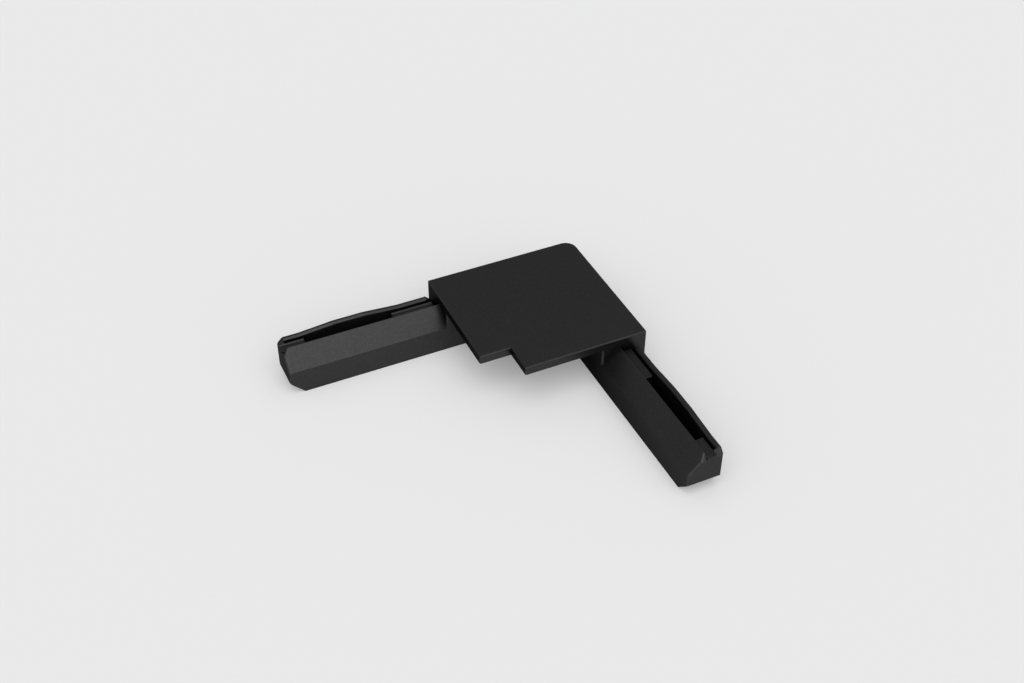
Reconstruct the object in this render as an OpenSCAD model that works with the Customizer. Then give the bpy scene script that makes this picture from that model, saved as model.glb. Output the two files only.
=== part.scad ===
// Inner corner connector for a furniture profile.
// One moulded piece: a square cap with a notched inner corner, an L-shaped
// block under its two outer sides, and two plug-in arms at right angles.
// Millimetres, +Z up, standing on its underside, centred in plan.

/* [Cap] */
// Side of the square cap
cap_side = 40; // [36:1:48]
// Thickness of the cap plate
cap_thick = 2.2; // [1.8:0.1:2.8]
// Side of the square notch at the inner corner
cap_notch = 8; // [5:0.5:12]
// Plan radius of the outer corner
corner_r = 3; // [1.5:0.5:5]
// Total height, underside to cap top
part_h = 13.3; // [12.5:0.1:15]

/* [Arms] */
// Length of an arm beyond the cap
arm_len = 40.5; // [38:0.5:60]
// Inset of the arm's outer face from the cap's side
arm_inset = 3; // [2:0.25:3.5]
// Width of an arm
arm_w = 8.75; // [8.25:0.25:10]
// Run and drop of the 45 degree slope on the arm
slope_run = 4.4; // [4:0.1:4.8]
// Width of the flat along the ridge above the slope
ridge_flat = 0.15; // [0.1:0.05:0.4]
// Drop of the ridge below the cap's underside
ridge_drop = 0.1; // [0.05:0.05:0.3]

/* [Spring wall] */
// Thickness of the thin outer wall
wall_thick = 1.15; // [0.9:0.05:1.3]
// Bevel on the wall's inner top edge
wall_bevel = 0.45; // [0.3:0.05:0.6]
// Bevel on the wall's outer top edge
wall_bevel_outer = 0.15; // [0.05:0.05:0.2]
// Run and drop of the wall's 45 degree slope down to the cap
root_slope = 2; // [1:0.1:3]
// Rise of the wall's crown above its ends
crown_rise = 0.75; // [0.4:0.05:1]
// Middle of the crown, from the cap
crown_mid = 22.4; // [20:0.2:24]
// Length of the crown's flat top
crown_flat = 7.6; // [4:0.2:10]
// Length of each ramp of the crown
crown_ramp = 8.8; // [6:0.2:10]

/* [Groove, slot and pocket] */
// Depth of the groove between the ridge and the wall
groove_depth = 0.8; // [0.6:0.1:1.2]
// Width of the slot behind the wall
slot_w = 0.8; // [0.6:0.05:1]
// Rise of the 45 degree rim along the slot
rim_rise = 0.3; // [0.15:0.05:0.45]
// Gap between the groove's floor and the cap
ledge_gap = 1.1; // [0.6:0.1:2]
// Solid left between the slot and the arm's end
slot_end_wall = 1.4; // [1.2:0.1:2]
// Start of the wide pocket, from the cap
pocket_start = 11.8; // [8:0.2:14]
// Length of the wide pocket
pocket_len = 22.5; // [16:0.5:24]
// Plan radius of the pocket's corners
pocket_r = 0.5; // [0.3:0.1:0.8]
// Material left under the slot and the pocket
pocket_floor = 3.6; // [3.4:0.1:5]

/* [Lead-in] */
// Lower 45 degree chamfer at the arm's end
lead_low = 3.5; // [2.5:0.25:4]
// Upper 45 degree chamfer at the arm's end
lead_top = 1.6; // [1:0.1:2]

/* [Edges] */
// Radius of the cap's edges
cap_edge_r = 0.4; // [0.2:0.05:0.6]
// Radius of the block's standing inner edge
block_edge_r = 0.5; // [0.2:0.05:0.8]
// Radius of the edges at the arm's end
tip_edge_r = 0.6; // [0.2:0.05:0.8]

/* [Hidden] */
$fn = 48;
// How far a cutter stands clear of the faces that it cuts
clear = 1;
// How far an edge cutter runs past an open end of its edge
past = 0.3;
// How far the arm reaches into the block
lap = 1;
up = [0, 0, 1];
right = [1, 0, 0];
left = [-1, 0, 0];
inward = [0, 1, 0];
outward = [0, -1, 0];
slope_normal = [0, 1, 1] / sqrt(2);
lead_normal = [1, 0, 1] / sqrt(2);
diagonal = [1, -1, 0];
plate_under = part_h - cap_thick;
wall_z = plate_under;
crown_z = wall_z + crown_rise;
ridge_z = plate_under - ridge_drop;
groove_z = ridge_z - groove_depth;
rim_z = groove_z + rim_rise;
slope_foot_z = ridge_z - slope_run;
lead_z = wall_z - lead_top;
block_w = arm_inset + arm_w;
ridge_y = block_w - slope_run;
groove_y = ridge_y - ridge_flat;
wall_y = arm_inset + wall_thick;
slot_y = wall_y + slot_w;
slot_mid_y = wall_y + slot_w / 2;
rim_y = slot_y + rim_rise;
wall_mid_y = arm_inset + wall_thick / 2;
notch_at = cap_side - cap_notch;
tip = cap_side + arm_len;
slot_end = tip - slot_end_wall;
wall_root = cap_side + root_slope;
pocket_a = cap_side + pocket_start;
pocket_b = pocket_a + pocket_len;
crown_a = cap_side + crown_mid - crown_flat / 2;
crown_b = cap_side + crown_mid + crown_flat / 2;
// The wall's top line, as X and Z from inside the block to the arm's end
wall_line = [
    [cap_side - lap, wall_z - root_slope - lap],
    [wall_root, wall_z],
    [crown_a - crown_ramp, wall_z],
    [crown_a, crown_z],
    [crown_b, crown_z],
    [crown_b + crown_ramp, wall_z],
    [tip, wall_z]
];

// The arm's cross-section, in Y and Z
arm_section = [
    [arm_inset, 0],
    [block_w, 0],
    [block_w, slope_foot_z],
    [ridge_y, ridge_z],
    [groove_y, ridge_z],
    [groove_y, groove_z],
    [rim_y, groove_z],
    [slot_y, rim_z],
    [slot_y, pocket_floor],
    [arm_inset, pocket_floor]
];
// Cross-section of the thick end of the wall, in Y and Z
wall_end_section = [
    [wall_mid_y, pocket_floor / 2],
    [slot_y, pocket_floor / 2],
    [slot_y, wall_z - wall_bevel],
    [slot_y - wall_bevel, wall_z],
    [wall_mid_y, wall_z]
];

// A unit vector along v
function unit(v) = v / norm(v);

// A list of edges mirrored about the plan's diagonal
function swapped(v) = [v.y, v.x, v.z];
function mirrored(edges) = [
    for (e = edges) [swapped(e[0]), swapped(e[1]), swapped(e[2]), swapped(e[3]), e[4]]
];

// The region under the wall's top line, with its heights shifted and then scaled
function under_line(shift, scale) = concat(
    [for (p = wall_line) [p.x, (p.y + shift) * scale]],
    [[tip, -part_h], [cap_side - lap, -part_h]]
);

// Cutter that rounds the straight edge from a to b between faces with outward normals n1 and n2
module edge_cutter(a, b, n1, n2, r) {
    along = unit(b - a);
    out = unit(n1 + n2);
    side = cross(along, out);
    half = acos(n1 * n2) / 2;
    reach = r + clear;
    length = norm(b - a);
    multmatrix([
        [out.x, side.x, along.x, a.x],
        [out.y, side.y, along.y, a.y],
        [out.z, side.z, along.z, a.z],
        [0, 0, 0, 1]
    ])
    translate([-r / cos(half), 0, 0])
    difference() {
        linear_extrude(height = length) polygon([
            [0, 0],
            [reach * cos(half), -reach * sin(half)],
            [reach / cos(half), 0],
            [reach * cos(half), reach * sin(half)]
        ]);
        translate([0, 0, -clear]) cylinder(r = r, h = length + 2 * clear);
    }
}

// The children and their mirror image about the plan's diagonal
module both_sides() {
    children();
    mirror(diagonal) children();
}

// Prism with an outline in X and Z, between two values of Y
module side_prism(y0, y1, outline) {
    translate([0, y1, 0]) rotate([90, 0, 0]) linear_extrude(height = y1 - y0) polygon(outline);
}

// Prism with an outline in Y and Z, between two values of X
module arm_prism(x0, x1, outline) {
    translate([x0, 0, 0]) rotate([90, 0, 90]) linear_extrude(height = x1 - x0) polygon(outline);
}

// Cuboid between two corners
module between(low, high) {
    translate(low) cube(high - low);
}

// Cutter for the cap's rounded top edge around the outer corner
module corner_top_cutter() {
    tube_at = [corner_r - cap_edge_r, -cap_edge_r];
    translate([corner_r, corner_r, part_h]) rotate([0, 0, 180]) difference() {
        rotate_extrude(angle = 90) translate(tube_at) square(cap_edge_r + clear);
        rotate_extrude(angle = 90) translate(tube_at) circle(r = cap_edge_r);
    }
}

// The children with a list of edges rounded, each one given as a, b, n1, n2 and r
module round_edges(edges, i = 0) {
    if (i == len(edges)) {
        children();
    } else {
        difference() {
            round_edges(edges, i + 1) children();
            edge_cutter(edges[i][0], edges[i][1], edges[i][2], edges[i][3], edges[i][4]);
        }
    }
}

// L-shaped block, with its inner standing edges rounded above the arms
module block() {
    foot = [cap_side, block_w, slope_foot_z];
    head = [cap_side, block_w, part_h + past];
    edges = [[foot, head, right, inward, block_edge_r]];
    round_edges(concat(edges, mirrored(edges)))
        both_sides() between([0, 0, 0], [cap_side, block_w, part_h]);
}

// Cap plate on the block, with square edges
module square_cap() {
    between([0, 0, plate_under], [notch_at, cap_side, part_h]);
    between([0, 0, plate_under], [cap_side, notch_at, part_h]);
    block();
}

// Cap and block with their rounded edges
module cap() {
    h = part_h;
    r = cap_edge_r;
    corner = [[[0, 0, -past], [0, 0, h + past], left, outward, corner_r]];
    // Top edges of one side: outer side, free end, notch
    tops = [
        [[corner_r, 0, h], [cap_side + past, 0, h], outward, up, r],
        [[cap_side, -past, h], [cap_side, notch_at + past, h], right, up, r],
        [[notch_at, notch_at, h], [cap_side + past, notch_at, h], inward, up, r]
    ];
    // Standing edges of one side: outer end of the block, end of the plate
    stands = [
        [[cap_side, 0, -past], [cap_side, 0, h + past], right, outward, r],
        [[cap_side, notch_at, plate_under - past], [cap_side, notch_at, h + past], right, inward, r]
    ];
    round_edges(concat(tops, mirrored(tops), stands, mirrored(stands))) difference() {
        round_edges(corner) square_cap();
        corner_top_cutter();
    }
}

// Thin outer wall of an arm, crowned along its top and sloped down to the cap
module spring_wall() {
    deep = part_h + tip;
    inner_shift = wall_y - wall_bevel;
    outer_shift = -arm_inset - wall_bevel_outer;
    intersection() {
        side_prism(arm_inset, wall_y, concat(wall_line, [[tip, 0], [cap_side - lap, 0]]));
        rotate([45, 0, 0]) translate([0, 0, -deep])
            linear_extrude(height = 2 * deep) polygon(under_line(inner_shift, 1 / sqrt(2)));
        rotate([135, 0, 0]) translate([0, 0, -deep])
            linear_extrude(height = 2 * deep) polygon(under_line(outer_shift, 1 / sqrt(2)));
    }
}

// Void of the wide pocket, with round corners along the ridge
module pocket() {
    top = crown_z + clear;
    between([pocket_a, slot_mid_y, pocket_floor], [pocket_b, groove_y - pocket_r, top]);
    between([pocket_a + pocket_r, slot_mid_y, pocket_floor], [pocket_b - pocket_r, groove_y, top]);
    for (x = [pocket_a + pocket_r, pocket_b - pocket_r])
        translate([x, groove_y - pocket_r, pocket_floor]) cylinder(r = pocket_r, h = top - pocket_floor);
}

// Chamfers at the arm's end, which leave the groove's floor whole
module lead_in() {
    low = [[tip - lead_low - clear, -clear], [tip + clear, -clear], [tip + clear, lead_low + clear]];
    high = [
        [tip - lead_top - clear, wall_z + clear],
        [tip + clear, lead_z - clear],
        [tip + clear, wall_z + clear]
    ];
    side_prism(arm_inset - clear, block_w + clear, low);
    side_prism(arm_inset - clear, slot_y, high);
    side_prism(groove_y, block_w + clear, high);
}

// One arm with square edges: spring wall, groove, rim, slot, pocket and lead-in
module square_arm() {
    top = crown_z + clear;
    difference() {
        union() {
            difference() {
                union() {
                    arm_prism(cap_side - lap, tip, arm_section);
                    spring_wall();
                }
                between([cap_side, slot_mid_y, pocket_floor], [cap_side + ledge_gap, groove_y, top]);
                pocket();
            }
            arm_prism(slot_end, tip, wall_end_section);
        }
        lead_in();
    }
}

// One arm with the edges around its end rounded
module arm() {
    lead_head = [tip - lead_top + wall_z - ridge_z, ridge_y, ridge_z];
    lead_foot = [tip, ridge_y + ridge_z - lead_z, lead_z];
    // Slope, inner face and outer face, then the slope's edge with the upper chamfer
    tip_edges = [
        [lead_foot, [tip, block_w + past, slope_foot_z - past], right, slope_normal, tip_edge_r],
        [[tip, block_w, lead_low - past], [tip, block_w, slope_foot_z + past], right, inward, tip_edge_r],
        [[tip, arm_inset, lead_low - past], [tip, arm_inset, lead_z + past], right, outward, tip_edge_r],
        [lead_head, lead_foot, lead_normal, slope_normal, tip_edge_r]
    ];
    round_edges(tip_edges) square_arm();
}

// The whole connector
module corner_connector() {
    color([0.06, 0.06, 0.06]) translate([-tip / 2, -tip / 2, 0]) {
        cap();
        both_sides() arm();
    }
}

corner_connector();
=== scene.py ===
# %% [markdown]
# # Inner corner connector
# This small black plastic fitting joins two furniture profiles at a right angle: a flat cap covers
# the corner, and two arms plug into the profiles. The solid itself comes ready from CAD, with its
# edges rounded, so this lesson is about dressing it: the camera, the studio and the plastic.

# %% Load the fixed frame
import math

import bpy
from mathutils import Matrix, Vector


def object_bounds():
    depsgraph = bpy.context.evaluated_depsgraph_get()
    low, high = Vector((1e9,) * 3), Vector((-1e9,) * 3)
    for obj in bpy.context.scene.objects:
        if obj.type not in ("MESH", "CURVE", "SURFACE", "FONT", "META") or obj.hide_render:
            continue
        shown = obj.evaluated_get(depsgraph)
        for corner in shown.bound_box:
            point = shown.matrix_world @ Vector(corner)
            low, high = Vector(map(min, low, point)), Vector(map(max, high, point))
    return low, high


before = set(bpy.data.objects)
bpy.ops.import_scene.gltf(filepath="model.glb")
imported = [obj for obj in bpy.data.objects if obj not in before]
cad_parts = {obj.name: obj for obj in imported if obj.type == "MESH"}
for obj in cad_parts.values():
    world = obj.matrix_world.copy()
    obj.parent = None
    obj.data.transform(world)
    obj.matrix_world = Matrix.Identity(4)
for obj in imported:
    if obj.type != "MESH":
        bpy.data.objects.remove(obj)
cad_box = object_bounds()
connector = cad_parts["corner_connector"]
print("CAD box in metres:", [list(corner) for corner in cad_box])
print("Faces of its mesh:", len(connector.data.polygons))

# %% [markdown]
# The picture was taken with a normal lens, about 50 mm on a 36 mm wide sensor, from about a third of
# a metre, looking 41 degrees down into the inside of the corner. A camera can be aimed with a Track To
# constraint, but here its three axes are worked out from heading, pitch and a small roll, because
# the roll then stays under control too.

# %% Camera
MM = 0.001
IMAGE_WIDTH = 1024
FOCAL_PIXELS = 1415.52
SENSOR_WIDTH = 36.0
NEAREST_SEEN = 0.01
FARTHEST_SEEN = 20.0
CAMERA_PLACE = Vector((98.742, 219.451, 230.843)) * MM
HEADING = math.radians(-115.216)
PITCH = math.radians(40.597)
ROLL = math.radians(0.2315)

scene = bpy.context.scene
forward = Vector((
    math.cos(HEADING) * math.cos(PITCH),
    math.sin(HEADING) * math.cos(PITCH),
    -math.sin(PITCH),
))
level = forward.cross(Vector((0, 0, 1))).normalized()
rise = level.cross(forward)
right = level * math.cos(ROLL) + rise * math.sin(ROLL)
up = rise * math.cos(ROLL) - level * math.sin(ROLL)

camera_data = bpy.data.cameras.new("studio_camera")
camera_data.sensor_fit = "HORIZONTAL"
camera_data.sensor_width = SENSOR_WIDTH
camera_data.lens = FOCAL_PIXELS / IMAGE_WIDTH * SENSOR_WIDTH
camera_data.clip_start = NEAREST_SEEN
camera_data.clip_end = FARTHEST_SEEN
camera = bpy.data.objects.new("studio_camera", camera_data)
axes = Matrix((right, up, -forward)).transposed().to_4x4()
camera.matrix_world = Matrix.Translation(CAMERA_PLACE) @ axes
scene.collection.objects.link(camera)
scene.camera = camera
print("Lens in mm:", round(camera_data.lens, 2), "distance in m:", round(CAMERA_PLACE.length, 3))

# %% [markdown]
# Colours are written as sRGB hex values, as a designer reads them from a swatch, and one function turns
# them to the linear values that the renderer works with. A second small function adds any node,
# with its settings and its links, so that each material below reads as a short list.


# %% Helpers for colours and nodes
def linear(hex_colour):
    """Linear RGBA of an sRGB hex colour, by the curve that the sRGB standard sets."""
    channels = [int(hex_colour[i:i + 2], 16) / 255 for i in (1, 3, 5)]
    return [c / 12.92 if c <= 0.04045 else ((c + 0.055) / 1.055) ** 2.4 for c in channels] + [1.0]


def add_node(tree, kind, inputs=None, **settings):
    """Adds a node. Settings are its own properties; inputs maps a socket to a value or to an output."""
    made = tree.nodes.new(kind)
    for name, value in settings.items():
        setattr(made, name, value)
    for socket, value in (inputs or {}).items():
        if isinstance(value, bpy.types.NodeSocket):
            tree.links.new(value, made.inputs[socket])
        else:
            made.inputs[socket].default_value = value
    return made


print("Mid grey is", round(linear("#808080")[0], 3), "linear")

# %% [markdown]
# The fitting lies on a plain pale sheet of matt paper with no visible edge. The sheet could be a curved
# sweep, but a large flat plane at the height of the fitting's underside fills the whole view too.

# %% Floor
FLOOR_HALF = 3.0

floor_mesh = bpy.data.meshes.new("floor")
floor_corners = [(x * FLOOR_HALF, y * FLOOR_HALF, 0) for x, y in ((-1, -1), (1, -1), (1, 1), (-1, 1))]
floor_mesh.from_pydata(floor_corners, [], [(0, 1, 2, 3)])
floor = bpy.data.objects.new("floor", floor_mesh)
scene.collection.objects.link(floor)
floor.location.z = cad_box[0][2]
print("Floor side in metres:", 2 * FLOOR_HALF, "at height", round(floor.location.z, 6))

# %% [markdown]
# The paper has no gloss. As on a light table, it also glows a little, which keeps its shadows light. More
# lamps could lift the shadows too, but they would brighten the black fitting as well. Only the camera and
# mirror images see the glow, so it adds no scattered light. The rest of the paper's brightness comes from
# the lights and carries the soft shadow.

# %% Paper
PAPER_COLOUR = "#DCDCDC"
PAPER_GLOW = "#E9E9E9"
GLOW_SHARE = 0.22

paper = bpy.data.materials.new("matt_paper")
paper.use_nodes = True
sheet = paper.node_tree
paper_shader = sheet.nodes["Principled BSDF"]
paper_shader.inputs["Base Color"].default_value = linear(PAPER_COLOUR)
paper_shader.inputs["Roughness"].default_value = 1.0
paper_shader.inputs["Specular IOR Level"].default_value = 0.0
ray = add_node(sheet, "ShaderNodeLightPath")
seen = add_node(sheet, "ShaderNodeMath", {
    0: ray.outputs["Is Camera Ray"],
    1: ray.outputs["Is Glossy Ray"],
}, operation="MAXIMUM")
glow_share = add_node(sheet, "ShaderNodeMath", {
    0: seen.outputs["Value"],
    1: GLOW_SHARE,
}, operation="MULTIPLY")
light_table = add_node(sheet, "ShaderNodeEmission", {"Color": linear(PAPER_GLOW), "Strength": 1.0})
lit_paper = add_node(sheet, "ShaderNodeMixShader", {
    0: glow_share.outputs["Value"],
    1: paper_shader.outputs["BSDF"],
    2: light_table.outputs["Emission"],
})
sheet.links.new(lit_paper.outputs["Shader"], sheet.nodes["Material Output"].inputs["Surface"])
floor_mesh.materials.append(paper)
print("Paper colour, linear:", round(linear(PAPER_COLOUR)[0], 3), "glow", round(linear(PAPER_GLOW)[0], 3))

# %% [markdown]
# A softbox hangs high above, a little to the camera's side. It could be an area lamp, but one close by
# would make a bright patch on the paper, so it is a sun lamp with a wide disc. Its shadows are soft, and
# the camera sees most of them under the cap.

# %% Softbox
SOFTBOX_FROM = Vector((0.16, 0.47, 0.87)).normalized()
SOFTBOX_STRENGTH = 1.1
SOFTBOX_DISC = math.radians(60)

softbox_data = bpy.data.lights.new("softbox", "SUN")
softbox_data.energy = SOFTBOX_STRENGTH
softbox_data.angle = SOFTBOX_DISC
softbox = bpy.data.objects.new("softbox", softbox_data)
softbox.rotation_euler = (-SOFTBOX_FROM).to_track_quat("-Z", "Y").to_euler()
softbox.location = SOFTBOX_FROM
scene.collection.objects.link(softbox)
print("Softbox", SOFTBOX_STRENGTH, "over a disc of", round(math.degrees(SOFTBOX_DISC)), "degrees")

# %% [markdown]
# A black object is seen by what it mirrors. Here a wide white screen stands low behind the camera, and
# the far side of the room is grey. Area lamps could be placed for this, but a world that turns smoothly
# from grey to white lights the paper evenly, and gives each facet nearly one tone.

# %% Room and screen
SCREEN_FROM = Vector((0.4, 0.82, 0.35)).normalized()
SCREEN_BRIGHT = 1.5
ROOM_GREY = 0.445
ROOM_ENDS = -0.05  # cosine of the angle to the screen's middle at which the room is all grey
SCREEN_STARTS = 0.97  # the same, for the brightest part of the screen

world = bpy.data.worlds.new("studio_room")
scene.world = world
world.use_nodes = True
room = world.node_tree
room.nodes.clear()
direction = add_node(room, "ShaderNodeTexCoord")
towards_screen = add_node(room, "ShaderNodeVectorMath", {
    0: direction.outputs["Generated"],
    1: SCREEN_FROM,
}, operation="DOT_PRODUCT")
brightness = add_node(room, "ShaderNodeMapRange", {
    "Value": towards_screen.outputs["Value"],
    "From Min": ROOM_ENDS,
    "From Max": SCREEN_STARTS,
    "To Min": ROOM_GREY,
    "To Max": SCREEN_BRIGHT,
}, interpolation_type="SMOOTHSTEP")
room_light = add_node(room, "ShaderNodeBackground", {
    "Color": linear("#FFFFFF"),
    "Strength": brightness.outputs["Result"],
})
add_node(room, "ShaderNodeOutputWorld", {"Surface": room_light.outputs["Background"]})
print("Screen", SCREEN_BRIGHT, "behind the camera, room", ROOM_GREY, "on the far side")

# %% [markdown]
# The fitting looks like injection moulded ABS, dyed black right through, with a weak sheen. Its edges are
# painted a trace paler, a painted highlight for the light that its rounded edges catch. A bevel that only
# bends the normal finds the edges by itself: there the bent normal turns away from the true one.

# %% Black plastic and the painted highlight on its edges
BLACK = "#0A0A0B"
BLACK_PAINTED_HIGHLIGHT = "#151516"
PLASTIC_IOR = 1.45  # ABS is a little over 1.5; this is matched to the fitting's weak sheen
EDGE_MM = 0.22
EDGE_SAMPLES = 6
EDGE_TURN = 0.8  # cosine of the bend at which an edge gets the full painted highlight

plastic = bpy.data.materials.new("black_abs_moulded_matt")
plastic.use_nodes = True
tree = plastic.node_tree
shader = tree.nodes["Principled BSDF"]
shader.inputs["IOR"].default_value = PLASTIC_IOR
soft_normal = add_node(tree, "ShaderNodeBevel", {"Radius": EDGE_MM * MM}, samples=EDGE_SAMPLES)
surface = add_node(tree, "ShaderNodeNewGeometry")
alignment = add_node(tree, "ShaderNodeVectorMath", {
    0: soft_normal.outputs["Normal"],
    1: surface.outputs["Normal"],
}, operation="DOT_PRODUCT")
edge_highlight_mask = add_node(tree, "ShaderNodeMapRange", {
    "Value": alignment.outputs["Value"],
    "From Min": 1.0,
    "From Max": EDGE_TURN,
})
# Painted highlight: a paler black on the edges stands in for the light that rounded edges catch.
colour = add_node(tree, "ShaderNodeMix", {
    "Factor": edge_highlight_mask.outputs["Result"],
    "A": linear(BLACK),
    "B": linear(BLACK_PAINTED_HIGHLIGHT),
}, data_type="RGBA")
tree.links.new(colour.outputs["Result"], shader.inputs["Base Color"])
connector.data.materials.clear()
connector.data.materials.append(plastic)
print("Black, linear:", round(linear(BLACK)[0], 4), "painted_highlight", round(linear(BLACK_PAINTED_HIGHLIGHT)[0], 4))

# %% [markdown]
# A spark-eroded mould leaves a fine, even, matt grain like this one. The grain could be displaced
# geometry, but the real one is finer than a pixel, so a bump is enough. A second, wide pattern changes
# the roughness a little from place to place, as the melt does where it fills the mould.

# %% Grain and flow
GRAIN_MM = 0.45  # a real grain is about 0.1 mm; this is as coarse as it needs to be to show
GRAIN_OCTAVES = 2.0
GRAIN_HARSHNESS = 0.6
GRAIN_DEPTH_MM = 0.02
GRAIN_BUMP = 0.5
FLOW_MM = 14.0
FLOW_OCTAVES = 3.0
FLOW_HARSHNESS = 0.5
NOISE_LOW = 0.3  # nearly all of a noise pattern lies between these two values
NOISE_HIGH = 0.7
SMOOTHEST = 0.35
ROUGHEST = 0.41

place = add_node(tree, "ShaderNodeTexCoord")
grain = add_node(tree, "ShaderNodeTexNoise", {
    "Vector": place.outputs["Object"],
    "Scale": 1 / (GRAIN_MM * MM),
    "Detail": GRAIN_OCTAVES,
    "Roughness": GRAIN_HARSHNESS,
})
flow = add_node(tree, "ShaderNodeTexNoise", {
    "Vector": place.outputs["Object"],
    "Scale": 1 / (FLOW_MM * MM),
    "Detail": FLOW_OCTAVES,
    "Roughness": FLOW_HARSHNESS,
})
roughness = add_node(tree, "ShaderNodeMapRange", {
    "Value": flow.outputs["Fac"],
    "From Min": NOISE_LOW,
    "From Max": NOISE_HIGH,
    "To Min": SMOOTHEST,
    "To Max": ROUGHEST,
})
bump = add_node(tree, "ShaderNodeBump", {
    "Strength": GRAIN_BUMP,
    "Distance": GRAIN_DEPTH_MM * MM,
    "Height": grain.outputs["Fac"],
    "Normal": soft_normal.outputs["Normal"],
})
tree.links.new(roughness.outputs["Result"], shader.inputs["Roughness"])
tree.links.new(bump.outputs["Normal"], shader.inputs["Normal"])
print("Roughness from", SMOOTHEST, "to", ROUGHEST, "with a grain of", GRAIN_MM, "mm")

# %% [markdown]
# The facets have a broad soft sheen. One gloss for the whole part would be simpler, but at a flat angle
# the grain's peaks hide its pits and shade each other, so the gloss is turned down there. Narrow grooves
# are turned down too, by a mask of how much sky they see: painted shade on top of the dark that their
# walls mirror into each other. The grain also moves the gloss a little, which makes it show on evenly
# lit facets.

# %% Gloss
GLOSS = 0.5
GLOSS_AT_FLAT_ANGLE = 0.004
FALL_STARTS = 0.3  # 0 is seen square on, 1 is seen along the surface
FALL_ENDS = 0.63
FACING_BLEND = 0.5
GROOVE_MM = 2.0
GROOVE_SAMPLES = 8
GROOVE_SHUT = 0.45  # share of open sky at which a groove has lost its gloss: the full painted shade
GROOVE_OPEN = 0.95
GRAIN_GLOSS = 0.13  # how far the grain moves the gloss to either side

facing = add_node(tree, "ShaderNodeLayerWeight", {"Blend": FACING_BLEND})
angle_gloss = add_node(tree, "ShaderNodeMapRange", {
    "Value": facing.outputs["Facing"],
    "From Min": FALL_STARTS,
    "From Max": FALL_ENDS,
    "To Min": GLOSS,
    "To Max": GLOSS_AT_FLAT_ANGLE,
})
# Painted shade: the gloss fades where little sky is seen, so narrow grooves render darker.
openness = add_node(tree, "ShaderNodeAmbientOcclusion", {"Distance": GROOVE_MM * MM},
                    samples=GROOVE_SAMPLES, only_local=True)
painted_groove_shade = add_node(tree, "ShaderNodeMapRange", {
    "Value": openness.outputs["AO"],
    "From Min": GROOVE_SHUT,
    "From Max": GROOVE_OPEN,
})
grain_gloss = add_node(tree, "ShaderNodeMapRange", {
    "Value": grain.outputs["Fac"],
    "From Min": NOISE_LOW,
    "From Max": NOISE_HIGH,
    "To Min": 1 - GRAIN_GLOSS,
    "To Max": 1 + GRAIN_GLOSS,
})
open_gloss = add_node(tree, "ShaderNodeMath", {
    0: angle_gloss.outputs["Result"],
    1: painted_groove_shade.outputs["Result"],
}, operation="MULTIPLY")
gloss = add_node(tree, "ShaderNodeMath", {
    0: open_gloss.outputs["Value"],
    1: grain_gloss.outputs["Result"],
}, operation="MULTIPLY")
tree.links.new(gloss.outputs["Value"], shader.inputs["Specular IOR Level"])
print("Nodes in the plastic:", len(tree.nodes))

# %% [markdown]
# The picture is shown with the Standard transform, which adds no film curve, so greys stay as the light
# makes them.

# %% View transform
scene.view_settings.view_transform = "Standard"
